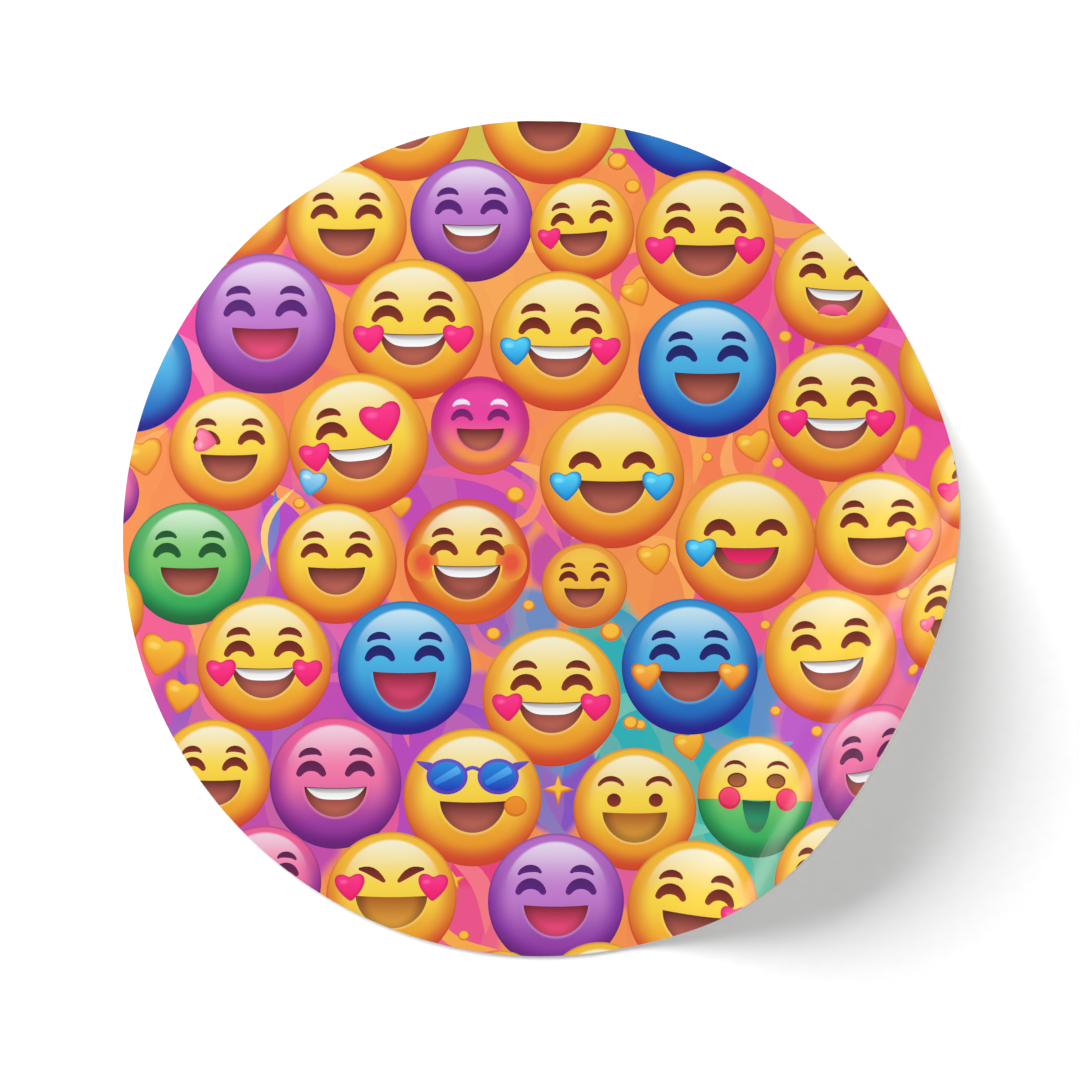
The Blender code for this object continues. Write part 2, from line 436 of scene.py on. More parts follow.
def backgroundMaterial():
    material, tree, shader = newMaterial("backgroundInk")
    flat = sheetPlace(tree)
    swirl = noise(tree, flat, background["swirlSize"], 1.5)
    push = background["swirlPush"]
    place = vectorMaths(tree, "MULTIPLY_ADD", swirl.outputs["Color"], (push, push, 0), flat)
    colour = printed(background["ink"])
    middle = discRadius / mm + push / 2  # from the map's corner to the print's middle, with the mean push
    for acrossPrint, upPrint, size, code in backPatches:
        gap = vectorMaths(tree, "DISTANCE", place, (acrossPrint + middle, upPrint + middle, 0))
        covered = fade(tree, gap, size + background["patchBlur"], size - background["patchBlur"])
        colour = blendInk(tree, covered, colour, printed(code))
    ribbon = tree.nodes.new("ShaderNodeTexWave")
    dress(tree, ribbon, {"Vector": place, "Scale": background["ribbonScale"],
                         "Distortion": background["ribbonBend"], "Detail": 0.0})
    lines = fade(tree, ribbon.outputs["Fac"], *background["ribbonLine"])
    glow = maths(tree, "MULTIPLY", lines, background["ribbonShare"])
    colour = blendInk(tree, glow, colour, printed(background["ribbonInk"]))
    glossOver(tree, shader, colour)
    return material


# Outlines of printed features, in ball units: the ball's radius is 1

strokeEnd = 6  # steps round the end of a stroke
archEnds = math.radians(28)  # how far round its half circle an arch starts
heartShape = {"tall": 0.81, "push": 0.78, "notch": 0.8, "drop": 0.14}
lipCurve = 1.08  # 1 is half an ellipse, and more is narrower at the bottom
teethShape = {"share": 0.93, "below": 0.012, "power": 4}  # across the mouth, under the lip, how blunt


def stroke(line, widths):
    # a band along a line of points, with round ends
    left, right = [], []
    for k, (x, y) in enumerate(line):
        ax, ay = line[max(k - 1, 0)]
        bx, by = line[min(k + 1, len(line) - 1)]
        length = math.hypot(bx - ax, by - ay)
        nx, ny = -(by - ay) / length, (bx - ax) / length
        half = widths[k] / 2
        left.append((x + nx * half, y + ny * half))
        right.append((x - nx * half, y - ny * half))

    def cap(centre, edge):
        start = math.atan2(edge[1] - centre[1], edge[0] - centre[0])
        size = math.hypot(edge[0] - centre[0], edge[1] - centre[1])
        turns = [start - math.pi * k / strokeEnd for k in range(1, strokeEnd)]
        return [(centre[0] + size * math.cos(a), centre[1] + size * math.sin(a)) for a in turns]

    return left + cap(line[-1], left[-1]) + right[::-1] + cap(line[0], right[0])


def arch(x, y, halfWidth, rise, thick, ends, lean=0.0, points=13):
    # a smiling eye or a brow: the upper part of an arch, thick in the middle, with thinner round ends
    line, widths = [], []
    for k in range(points):
        t = k / (points - 1)
        a = math.pi - archEnds - (math.pi - 2 * archEnds) * t
        up = (math.sin(a) - math.sin(archEnds)) / (1 - math.sin(archEnds))
        line.append((x + halfWidth * math.cos(a) / math.cos(archEnds), y + rise * up + lean * math.cos(a)))
        widths.append(thick * (ends + (1 - ends) * math.sin(math.pi * t)))
    return stroke(line, widths)


def oval(x, y, halfWidth, halfHeight, points=24):
    turns = evenly(0, 2 * math.pi, points)[:-1]
    return [(x + halfWidth * math.cos(a), y + halfHeight * math.sin(a)) for a in turns]


def heart(x, y, width, lean=0.0, points=36):
    # a round outline whose halves are each pushed upwards, so that it is plump with a short notch
    outline = []
    for k in range(points):
        a = 2 * math.pi * (k + 0.5) / points
        px = math.sin(a)
        py = heartShape["tall"] * (math.cos(a) + heartShape["push"] * abs(px) ** heartShape["notch"])
        py -= heartShape["drop"]
        px, py = px * width / 2, py * width / 2
        c, s = math.cos(lean), math.sin(lean)
        outline.append((x + px * c - py * s, y + px * s + py * c))
    return outline


def grin(x, y, halfWidth, depth, sag, grow=0.0):
    # an open mouth: a nearly straight upper lip and a deep round lower one
    outline = []
    for a in evenly(0, math.pi, 28):
        deep = (depth + grow) * max(math.sin(a), 0) ** lipCurve
        outline.append((x + (halfWidth + grow) * math.cos(a), y - deep))
    for t in evenly(-1, 1, 10)[1:-1]:
        outline.append((x + (halfWidth + grow) * t, y + grow * 0.6 - sag * (1 - t * t)))
    return outline


def teeth(x, y, halfWidth, depth, sag):
    # a row of teeth or a tongue just under the upper lip, thinning out to the corners
    outline = []
    inner = halfWidth * teethShape["share"]
    for t in evenly(1, -1, 24):
        top = y - sag * (1 - t * t) - teethShape["below"]
        outline.append((x + inner * t, top - depth * (1 - t ** teethShape["power"])))
    for t in evenly(-1, 1, 12)[1:-1]:
        outline.append((x + inner * t, y - sag * (1 - t * t) - teethShape["below"]))
    return outline


def tongue(x, y, halfWidth, depth):
    return [(x + halfWidth * math.cos(a), y + depth * math.sin(a)) for a in evenly(0, math.pi, 18)]


featureInks = {
    "yellow": ("#66201A", "#8E3E28"), "ember": ("#66201A", "#8E3E28"), "amber": ("#66261C", "#7C3424"),
    "purple": ("#521C70", "#622C80"), "blue": ("#242664", "#2C3078"), "green": ("#185434", "#1F6238"),
    "berry": ("#5A1E4E", "#6E2C5C"), "sunset": ("#6A1668", "#8C2474"),
}
mouthInks = {
    "laugh": ("#5C2422", "#CC7060"),
    "tongue": ("#7A1234", "#FF5488"),
    "golden": ("#A65C28", "#E2A440"),
    "lime": ("#1E4A40", "#16A878"),
}
mouthOf = {"tongue": "tongue", "round": "golden", "squint": "golden", "cheery": "lime"}
heartInks = {
    "pink": ("#F63C8C", "#EE2072", "#D41F62", "#F970AA"),
    "blue": ("#58D2F6", "#1E9ADE", "#1676B4", "#92E2F6"),
    "sky": ("#9ED4F0", "#5AAEDC", "#3C86C0", "#E0F4FC"),
    "amber": ("#F6B848", "#EA8C36", "#C8602A", "#FCDC8C"),
    "rose": ("#F88AAE", "#F0648F", "#E04C7C", "#FFC2D6"),
    "gold": ("#F2BE3E", "#E8962E", "#DA6C34", "#FADC80"),
}
archEye = {"x": 0.37, "y": 0.145, "halfWidth": 0.18, "rise": 0.118, "thick": 0.16, "ends": 0.62}
brow = {"x": 0.385, "y": 0.42, "halfWidth": 0.155, "rise": 0.065, "thick": 0.112, "ends": 0.42,
        "lean": -0.015}
roundEye = {"x": 0.34, "y": 0.15, "halfWidth": 0.115, "halfHeight": 0.11}
roundBrow = {"x": 0.39, "y": 0.4, "halfWidth": 0.19, "rise": 0.1, "thick": 0.09, "ends": 0.6}
squintEye = {"x": 0.12, "y": 0.25, "stepX": 0.06, "stepY": 0.03, "bow": 0.05,
             "widths": [0.06, 0.1, 0.125, 0.13, 0.115, 0.085, 0.05]}
cheeryEye = {"x": 0.33, "y": 0.26, "halfWidth": 0.165, "halfHeight": 0.125}
cheeryPupil = {"x": 0.33, "y": 0.26, "halfWidth": 0.135, "halfHeight": 0.1}
cheeryBrow = {"x": 0.36, "y": 0.48, "halfWidth": 0.17, "rise": 0.08, "thick": 0.07, "ends": 0.5}
mouth = {"x": 0.0, "y": -0.055, "halfWidth": 0.475, "depth": 0.46, "sag": 0.02}
# How the mouth differs on some faces and kinds of ball
mouthChanges = {
    "cheery": {"y": -0.06, "halfWidth": 0.24, "depth": 0.54},
    "round": {"y": -0.045, "halfWidth": 0.53, "depth": 0.5},
    "squint": {"y": 0.02, "halfWidth": 0.55, "depth": 0.5},
    "ember": {"halfWidth": 0.53, "depth": 0.55},
    "blue tongue": {"depth": 0.57},
}
lipRings = ((0.03, 0.15), (0.021, 0.3), (0.012, 0.5))  # how far past the mouth, and how light
lipDrop = 0.012
teethDepth = 0.165
teethShadows = ((0.065, "#B4B2B4"), (0.045, "#989496"), (0.025, "#7A7072"))  # depth under the lip, ink
cheekPlace = {"x": 0.635, "y": -0.15, "width": 0.445, "lean": 0.05}
squintCheek = {"y": 0.14, "width": 0.46}


def mirrored(outline):
    return [(-x, y) for x, y in outline]


printShapes = []  # every printed shape, each laid over the ones before it


def lay(outline, ball, top=None, bottom=None, kind="feature"):
    # lays a shape given in ball units. Top and bottom are its inks, which fade into each other
    x, y, size, tilt = ball
    c, s = math.cos(tilt), math.sin(tilt)
    placed = []
    for px, py in outline:
        placed.append((x + size * (px * c - py * s), y + size * (px * s + py * c)))
    nexts = placed[1:] + placed[:1]
    if sum(a[0] * b[1] - b[0] * a[1] for a, b in zip(placed, nexts)) < 0:
        placed.reverse()  # all outlines run anticlockwise
    ys = [p[1] for p in outline]
    printShapes.append({"outline": placed, "ball": ball, "kind": kind, "top": top, "bottom": bottom,
                        "high": max(ys), "low": min(ys)})


def blendPair(a, b, share):
    return tuple(p + (q - p) * share for p, q in zip(a, b))


def layBoth(outline, ball, top, bottom):
    lay(outline, ball, top, bottom)
    lay(mirrored(outline), ball, top, bottom)


def layHeart(ball, x, y, width, name, lean=0.0, rings=5):
    # rings of ink inside each other make it look round
    top, bottom, rim, shine = inks(*heartInks[name])
    for k in range(rings):
        share = (k / (rings - 1)) ** 0.7
        outline = heart(x, y + 0.012 * width * k, width * (1 - 0.075 * k), lean)
        lay(outline, ball, blendPair(rim, top, share), blendPair(rim, bottom, share))
    for k in range(3):  # a glint at its upper left
        size = width * (0.15 - 0.04 * k)
        glint = oval(x - width * 0.21, y + width * 0.2, size, size * 0.6, 14)
        upper, lower = blendPair(top, shine, 0.2 + 0.25 * k), blendPair(top, shine, 0.08 + 0.15 * k)
        lay(glint, ball, upper, lower)


def layEyes(ball, kind, face):
    top, bottom = inks(*featureInks[kind])
    if face == "round":
        shapes = [oval(**roundEye), arch(**roundBrow)]
    elif face == "squint":
        line = []
        for k in range(7):
            up = squintEye["stepY"] * k + squintEye["bow"] * math.sin(math.pi * k / 6)
            line.append((squintEye["x"] + squintEye["stepX"] * k, squintEye["y"] + up))
        shapes = [stroke(line, squintEye["widths"])]
    elif face == "cheery":
        shapes = [oval(**cheeryEye), arch(**cheeryBrow)]
    elif face in ("open", "lick"):
        shapes = [arch(**archEye)]
    else:
        shapes = [arch(**archEye), arch(**brow)]
    for k, outline in enumerate(shapes):
        if kind == "sunset" and k == 1:  # its brows are pale
            top, bottom = inks("#F6EEF6", "#E8C8E4")
        layBoth(outline, ball, top, bottom)
    if face == "cheery":
        layBoth(oval(**cheeryPupil), ball, *inks("#8A5032", "#A8683C"))


def layMouth(ball, kind, face):
    inner = mouthOf.get(face, "laugh")
    place = dict(mouth)
    for which in (face, kind, f"{kind} {face}"):
        place.update(mouthChanges.get(which, {}))
    look = ballLook(kind)
    light = blendPair(look["upper"], look["cap"], 0.3)
    rings = () if face == "cheery" else lipRings  # the light lower lip
    for grow, share in rings:
        lip = grin(**dict(place, y=place["y"] - lipDrop), grow=grow)
        lay(lip, ball, look["upper"], blendPair(look["lower"], light, share))
    top, bottom = inks(*mouthInks[inner])
    lay(grin(**place), ball, top, bottom, "mouth")

    def underLip(depth, top, bottom, x=0.0, halfWidth=place["halfWidth"]):
        lay(teeth(x, place["y"], halfWidth, depth, place["sag"]), ball, top, bottom)

    if face in ("teeth", "teethTongue"):
        underLip(teethDepth, *inks("#D2D2D4", "#FAFAFA"))
        for depth, code in teethShadows:
            underLip(depth, printed(code), blendPair(printed(code), printed("#E4E4E6"), 0.5))
    if face == "teethTongue":
        lay(tongue(0.0, -0.49, 0.25, 0.17), ball, *inks("#F4709A", "#E6487A"))
    if face == "lick":
        underLip(0.2, *inks("#B81450", "#F42C6E"), 0.04, 0.42)


shades = {
    "x": 0.37,
    "y": 0.3,
    "halfWidth": 0.3,
    "halfHeight": 0.26,
    "rim": 0.05,
    "armWidths": [0.13, 0.11, 0.085, 0.06, 0.03],
    "bridgeWidth": 0.055,
    "glare": [(-0.19, -0.06), (0.14, 0.15), (0.19, 0.1), (0.2, 0.05), (-0.16, -0.13), (-0.19, -0.1)],
}


def layShades(ball):
    frameInk, frameLow = inks("#6E56C4", "#5844B0")
    arm = [(0.62 + 0.045 * k, 0.44 + 0.018 * k) for k in range(5)]
    layBoth(stroke(arm, shades["armWidths"]), ball, frameInk, frameLow)
    lens = oval(shades["x"], shades["y"], shades["halfWidth"], shades["halfHeight"], 36)
    layBoth(lens, ball, frameInk, frameLow)
    wide, high = shades["halfWidth"] - shades["rim"], shades["halfHeight"] - shades["rim"]
    glass = oval(shades["x"], shades["y"], wide, high, 36)
    layBoth(glass, ball, *inks("#2E8CDC", "#1C3CB4"))
    for x in (-shades["x"], shades["x"]):
        glare = [(x + px, shades["y"] + py) for px, py in shades["glare"]]
        lay(glare, ball, *inks("#5CB4EC", "#2C74D8"))
    bridge = [(-0.09 + 0.045 * k, 0.4 + 0.03 * math.sin(math.pi * k / 4)) for k in range(5)]
    lay(stroke(bridge, [shades["bridgeWidth"]] * 5), ball, frameInk, frameLow)


def layBall(kind, x, y, size, face=None, cheeks=(), tilt=0.0):
    ball = (x, y, size, math.radians(tilt))
    halfGreen = kind == "half"
    kind = "yellow" if halfGreen else kind
    lay(oval(0, 0, 1, 1, 96), ball, kind=kind)
    if halfGreen:
        lower = [(math.cos(a), math.sin(a)) for a in evenly(-math.pi + 0.06, -0.06, 40)]
        lay(lower, ball, kind="green")
    if face is None:
        return
    if kind == "ember":  # blushing at both sides
        for k in range(6):
            blush = blendPair(*inks("#E8903A", "#E4583E"), k / 5)
            layBoth(oval(0.7, -0.02, 0.25 - 0.03 * k, 0.3 - 0.036 * k), ball, blush, blush)
    if face == "shades":
        layShades(ball)
    elif face == "heartEye":
        top, bottom = inks(*featureInks[kind])
        for outline in (arch(**archEye), arch(**brow)):
            lay(mirrored(outline), ball, top, bottom)
        layHeart(ball, 0.36, 0.25, 0.6, "pink", 0.12)
    else:
        layEyes(ball, kind, face)
    layMouth(ball, kind, "teeth" if face == "heartEye" else face)
    if face == "cheery":
        for side in (-0.46, 0.52):
            lay(oval(side, -0.04, 0.19, 0.19), ball, *inks("#D82E54", "#C8264C"))
            lay(oval(side, -0.02, 0.16, 0.15), ball, *inks("#F05078", "#E23260"))
    cheek = dict(cheekPlace, **squintCheek) if face == "squint" else cheekPlace
    for side, name in zip((-1, 1), cheeks):
        if name:
            layHeart(ball, cheek["x"] * side, cheek["y"], cheek["width"], name, -cheek["lean"] * side)
    if face == "shades":
        lay(oval(0.62, -0.13, 0.165, 0.15), ball, *inks("#DE7828", "#D8722C"))
        lay(oval(0.62, -0.12, 0.14, 0.125), ball, *inks("#EC9232", "#E4842E"))


bothPink = ("pink", "pink")
# Every ball of the print: ink, place across and up the print and radius in millimetres, face, cheeks, tilt.
# Balls further down the list are printed over the ones before them.
printedBalls = [
    ("yellow", -12.4, 38.6, 6.0, "laugh"), ("yellow", 0.8, 38.5, 6.2, "laugh"),
    ("blue", 13.9, 39.3, 6.6, "laugh"), ("ember", -27.4, 29.5, 4.6), ("yellow", -17.7, 28.6, 5.5, "laugh"),
    ("purple", -6.3, 29.0, 5.6, "teeth"), ("yellow", 3.8, 28.2, 4.75, "laugh", ("pink", None), 4),
    ("yellow", 15.0, 27.2, 6.35, "laugh", bothPink), ("yellow", 26.8, 23.1, 5.5, "teethTongue", (), -3),
    ("blue", -37.3, 15.2, 5.5), ("purple", -25.1, 19.6, 6.4, "tongue"),
    ("yellow", -11.6, 19.1, 6.4, "teeth", bothPink), ("yellow", 1.8, 18.0, 6.4, "teeth", ("blue", "pink")),
    ("blue", 15.2, 15.5, 6.3, "laugh"), ("yellow", 38.1, 15.7, 5.5),
    ("yellow", 27.0, 11.4, 6.25, "teeth", bothPink), ("yellow", -28.4, 8.0, 5.5, "laugh"),
    ("sunset", -5.5, 10.3, 4.5, "laugh"), ("yellow", -16.6, 8.7, 6.4, "heartEye", ("pink", None), 6),
    ("berry", -40.2, 4.2, 3.6), ("yellow", 6.5, 5.7, 6.6, "open", ("blue", "blue")),
    ("yellow", 40.2, 4.5, 4.9, "laugh", ("pink", None)), ("green", -32.0, -2.3, 5.6, "laugh"),
    ("yellow", -18.6, -2.3, 5.5, "laugh"), ("ember", -6.7, -2.1, 5.75, "teeth"),
    ("amber", 4.0, -4.3, 3.9, "laugh"), ("yellow", 30.7, 0.4, 5.7, "laugh", (None, "rose")),
    ("yellow", 18.7, -0.4, 6.4, "lick", ("blue", None)), ("yellow", -40.6, -6.5, 4.4),
    ("yellow", 38.4, -7.9, 5.5, "laugh"), ("yellow", -25.2, -11.4, 6.15, "teeth", bothPink),
    ("blue", -12.4, -11.8, 6.1, "tongue"), ("blue", 13.6, -11.7, 6.2, "laugh", ("amber", "amber")),
    ("yellow", 26.5, -10.7, 6.1, "teeth", (), 3), ("yellow", 1.0, -14.5, 6.3, "teeth", bothPink),
    ("yellow", -29.8, -21.7, 5.2, "laugh"), ("berry", -18.7, -22.3, 6.0, "teeth"),
    ("berry", 31.0, -20.9, 5.6, "teeth", (), 4), ("yellow", 8.6, -24.7, 5.6, "round"),
    ("yellow", -6.2, -23.6, 6.3, "shades"), ("half", 19.7, -23.4, 5.4, "cheery"),
    ("berry", -25.1, -31.3, 5.1, "laugh"), ("yellow", 27.0, -30.6, 5.2, "laugh"),
    ("yellow", -13.6, -32.7, 5.95, "squint", bothPink), ("yellow", 14.1, -33.7, 6.2, "laugh", (), -4),
    ("purple", 1.4, -33.1, 6.2, "tongue"), ("yellow", 5.4, -42.1, 5.3), ("yellow", -3.5, -41.2, 3.6),
]
# Little hearts, dots and stars between the balls: place and size in millimetres, lean in degrees if any.
confetti = {
    "heart": [
        (-12.8, 2.8, 1.9), (10.4, -2.0, 2.7, 8), (13.6, -19.0, 2.5, 10), (-32.8, -14.5, 2.9, -12),
        (33.4, 8.4, 3.0, 25), (8.8, 22.3, 2.4, 25), (19.5, 8.3, 2.8, 15), (-34.6, -10.8, 3.6, -15),
        (-36.2, 7.3, 3.2, 10), (28.9, 16.9, 1.4, 20), (-7.2, 20.8, 1.6, -30), (24.6, -7.0, 1.4, 10),
    ],
    "dot": [
        (22.3, 18.4, 1.1), (24.6, 15.6, 1.1), (-4.3, -8.7, 1.2), (6.4, -8.5, 1.7), (-1.1, -6.1, 1.0),
        (-2.3, 4.0, 1.5), (8.4, 32.1, 1.3), (20.5, -7.9, 0.9), (21.4, -15.7, 0.9), (25.2, -17.5, 1.0),
        (9.1, -17.0, 0.9), (8.2, -16.8, 1.2), (21.6, 6.9, 1.0), (15.2, 7.4, 0.9), (-9.2, -34.9, 0.9),
        (-7.0, -36.2, 0.9), (-22.0, 3.2, 1.0), (7.0, 34.4, 1.6), (34.6, -12.6, 1.1), (33.0, -5.2, 1.3),
    ],
    "star": [
        (1.6, -22.9, 2.6), (-7.8, -31.2, 1.8, 20),
    ],
}


def star(points=8):
    outline = []
    for k in range(points):
        size = 0.5 if k % 2 == 0 else 0.16
        a = math.pi / 2 + 2 * math.pi * k / points
        outline.append((size * math.cos(a), size * math.sin(a)))
    return outline


# Loose hearts over the balls: ink, place, size in millimetres, lean in degrees.
looseHearts = [
    ("sky", -20.9, 5.0, 2.6, -14), ("pink", 17.9, -34.4, 2.7, 0), ("rose", 35.6, -8.6, 1.6, 10),
    ("rose", -30.5, 8.9, 2.2, 80),
]


def layConfetti(shape, x, y, size, lean=0):
    place = (x, y, size, math.radians(lean))
    if shape == "heart":
        layHeart(place, 0, 0, 1.15, "gold", 0, 4)
        return
    outline = {"dot": oval(0, 0, 0.5, 0.44, 16), "star": star()}[shape]
    for k, code in enumerate(("#DA6C34", "#E8962E", "#F4BC42")):
        scale = 1.16 - 0.16 * k
        ring = [(px * scale, py * scale + 0.03 * k) for px, py in outline]
        lay(ring, place, printed(code), printed(code))


def laySwoosh(x0, y0, x1, y1, width, bow, code):
    line, widths = [], []
    for k in range(11):
        t = k / 10
        out = bow * math.sin(math.pi * t)
        line.append((x0 + (x1 - x0) * t - (y1 - y0) * out, y0 + (y1 - y0) * t + (x1 - x0) * out))
        widths.append(width * (0.06 + 0.94 * math.sin(math.pi * t) ** 0.8))
    faded = blendPair(printed(code), printed(background["ink"]), 0.25)
    lay(stroke(line, widths), (0, 0, 1, 0), printed(code), faded)


def layPrint():
    for row in swooshes:
        laySwoosh(*row)
    for shape, rows in confetti.items():
        for row in rows:
            layConfetti(shape, *row)
    for row in printedBalls:
        layBall(*row)
    for name, x, y, size, lean in looseHearts:
        layHeart((x, y, size, math.radians(lean)), 0, 0, 1, name)


# The print as one flat map of triangles, cut along every outline and every fold

def toSheet(x, y):
    return x * across.x + y * across.y, x * along.x + y * along.y


def toPrint(reach, side):
    return reach * across.x + side * along.x, reach * across.y + side * along.y


def flatMap():
    # in millimetres. Each fold's line runs a little past the rim, and what is outside is left out
    rim, pastRim, insideOnly, mergeWithin = discRadius / mm, 0.5, 1, 1e-6
    corners, loops = [], []

    def addLoop(points):
        loops.append(list(range(len(corners), len(corners) + len(points))))
        corners.extend(Vector(point) for point in points)

    turns = evenly(0, 2 * math.pi, sheetDetail["rimPoints"])[:-1]
    addLoop([(rim * math.cos(a), rim * math.sin(a)) for a in turns])
    for shape in printShapes:
        addLoop([toSheet(x, y) for x, y in shape["outline"]])
    lines = []
    for fold in peelFacets + curlFacets:
        half = math.sqrt(max(rim ** 2 - (fold / mm) ** 2, 0)) + pastRim
        lines.append((len(corners), len(corners) + 1))
        corners.extend([Vector((fold / mm, -half)), Vector((fold / mm, half))])
    return delaunay_2d_cdt(corners, lines, loops, insideOnly, mergeWithin)


layPrint()
flatCorners, _, flatFaces, _, _, coveredBy = flatMap()
print("print: %d shapes, %d triangles" % (len(printShapes), len(flatFaces)))


# Edges, glue and paper

backSlot = 0
inkSlots = {name: k + 1 for k, name in enumerate([*ballInks, "feature", "mouth"])}
clearEdgeSlot, vinylEdgeSlot, vinylBackSlot = (len(inkSlots) + k for k in (1, 2, 3))


def edgeMaterial(name, code, roughness):
    material, tree, shader = newMaterial(name)
    place = sheetPlace(tree)
    fleck = noise(tree, place, 0.25, 2.0)
    tone = fade(tree, fleck.outputs["Fac"], 0.3, 0.75)
    dark = blendPair(ink(code), (0, 0, 0, 1), 0.12)  # an eighth darker in places
    dress(tree, shader, {
        "Base Color": blendInk(tree, tone, ink(code), dark),
        "Roughness": maths(tree, "MULTIPLY_ADD", tone, 0.15, roughness),
        "Normal": bump(tree, fleck.outputs["Fac"], 0.4, 0.00002),
    })
    return material


def glueMaterial():
    # clear glue over white vinyl: shiny, faintly warm, with a pebbled skin
    look = {"clear": "#ECEBE4", "thick": "#E0DCCB", "pebble": 0.7, "pool": 9.0, "depth": 0.00003}
    material, tree, shader = newMaterial("clearGlue")
    place = sheetPlace(tree)
    pool = noise(tree, place, look["pool"], 3.0)
    amount = fade(tree, pool.outputs["Fac"], 0.35, 0.7)
    pebble = noise(tree, place, look["pebble"], 2.0)
    dress(tree, shader, {
        "Base Color": blendInk(tree, amount, ink(look["clear"]), ink(look["thick"])),
        "Roughness": maths(tree, "MULTIPLY_ADD", pebble.outputs["Fac"], 0.22, 0.14),
        "Normal": bump(tree, pebble.outputs["Fac"], 0.5, look["depth"]),
        "Specular IOR Level": 0.6,
    })
    return material


def paperMaterial(name, look):
    material, tree, shader = newMaterial(name)
    place = sheetPlace(tree)
    stretch = tree.nodes.new("ShaderNodeMapping")
    # fibres lie mostly one way
    dress(tree, stretch, {"Scale": (1.0, 0.28, 1.0), "Rotation": (0, 0, 0.5), "Vector": place})
    fibre = noise(tree, stretch.outputs[0], look["fibre"], 5.0, 0.65)
    cloud = noise(tree, place, look["cloud"], 3.0)
    half = maths(tree, "MULTIPLY", fibre.outputs["Fac"], 0.5)
    tone = maths(tree, "MULTIPLY_ADD", cloud.outputs["Fac"], 0.5, half)
    dress(tree, shader, {
        "Base Color": blendInk(tree, fade(tree, tone, 0.32, 0.66), ink(look["light"]), ink(look["dark"])),
        "Roughness": maths(tree, "MULTIPLY_ADD", fibre.outputs["Fac"], 0.2, look["roughness"] - 0.1),
        "Normal": bump(tree, fibre.outputs["Fac"], 0.5, look["depth"]),
        "Specular IOR Level": look["shine"],
    })
    return material


faceMaterials = [backgroundMaterial()] + [ballMaterial(name) for name in ballInks]
faceMaterials += [featureMaterial(), mouthMaterial()]
# Painted shade: the cut edges of the clear laminate and the white vinyl are inked mid-grey, near the tone of
# the cast shadow beside them, not their own clear and white
faceMaterials += [edgeMaterial("clearEdgePaintedShade", "#B4B4B4", 0.3), edgeMaterial("vinylEdgePaintedShade", "#B6B4B1", 0.45)]
faceMaterials.append(edgeMaterial("vinylBack", "#EDEDE8", 0.4))
glue = glueMaterial()
# The liner's two sides: sizes of fibres and clouds in millimetres, light and dark tones
linerLooks = {
    "siliconeSide": {"fibre": 0.5, "cloud": 7.0, "light": "#F4EFDD", "dark": "#ECE4CC",
                     "roughness": 0.32, "depth": 0.000006, "shine": 0.6},
    "paperSide": {"fibre": 0.35, "cloud": 5.0, "light": "#F5F3EC", "dark": "#ECE9DF",
                  "roughness": 0.72, "depth": 0.00001, "shine": 0.3},
}
siliconeSide, paperSide = (paperMaterial(name, look) for name, look in linerLooks.items())
# Painted shade: the liner's cut rim is inked grey, near the tone of the cast shadow, not the paper's own pale
# white
linerMaterials = [paperSide, siliconeSide, edgeMaterial("paperEdgePaintedShade", "#B2AFA8", 0.6)]
linerSlots = (0, 2, 1)  # under, rim and upper
print("materials: %d" % len(bpy.data.materials))


# The pieces

def addObject(name, data):
    thing = bpy.data.objects.new(name, data)
    bpy.context.scene.collection.objects.link(thing)
    return thing


def ofKind(items, kind):
    return [item for item in items if isinstance(item, kind)]


def onLines(bm, lines, faces):
    # adds the fold lines across some faces, so that they can bend there
    for line in lines:
        live = [face for face in faces if face.is_valid]
        geometry = dict.fromkeys(live)  # each item once, in a steady order
        for face in live:
            geometry.update(dict.fromkeys([*face.edges, *face.verts]))
        cut = bmesh.ops.bisect_plane(bm, geom=list(geometry), dist=tiny, plane_co=(line, 0, 0),
                                     plane_no=(1, 0, 0))
        faces = [face for face in ofKind(cut["geom"], bmesh.types.BMFace) + live if face.is_valid]
        faces = list(dict.fromkeys(faces))
    return faces


def finishPiece(name, bm, materials):
    # maps the piece, rolls it up where the sheet curls and makes its object
    layer = bm.loops.layers.uv.get("sheetPlace") or bm.loops.layers.uv.new("sheetPlace")
    for face in bm.faces:
        for loop in face.loops:
            x, y = toPrint(loop.vert.co.x, loop.vert.co.y)
            loop[layer].uv = (x / (2 * discRadius) + 0.5, y / (2 * discRadius) + 0.5)
    for vertex in bm.verts:
        vertex.co = rolled(vertex.co)
    bmesh.ops.recalc_face_normals(bm, faces=bm.faces)
    mesh = bpy.data.meshes.new(name)
    bm.to_mesh(mesh)
    bm.free()
    for material in materials:
        mesh.materials.append(material)
    mesh.shade_smooth()
    mesh.set_sharp_from_angle(angle=sheetDetail["sharpAngle"])
    return addObject(name, mesh)


def bendPiece(piece):
    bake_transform(piece)


def pushDown(bm, depth, slot):
    # a wall of the given depth under every open edge, open again at its foot
    rim = [edge for edge in bm.edges if edge.is_boundary]
    made = bmesh.ops.extrude_edge_only(bm, edges=rim)["geom"]
    bmesh.ops.translate(bm, verts=ofKind(made, bmesh.types.BMVert), vec=(0, 0, -depth))
    for face in ofKind(made, bmesh.types.BMFace):
        face.material_index = slot


filmLow = heights("film_flat")[0]
laminateLow, laminateHigh = heights("laminate_flat")
adhesiveLow, adhesiveHigh = heights("adhesive_flat")
linerLow, linerHigh = heights("liner_main")


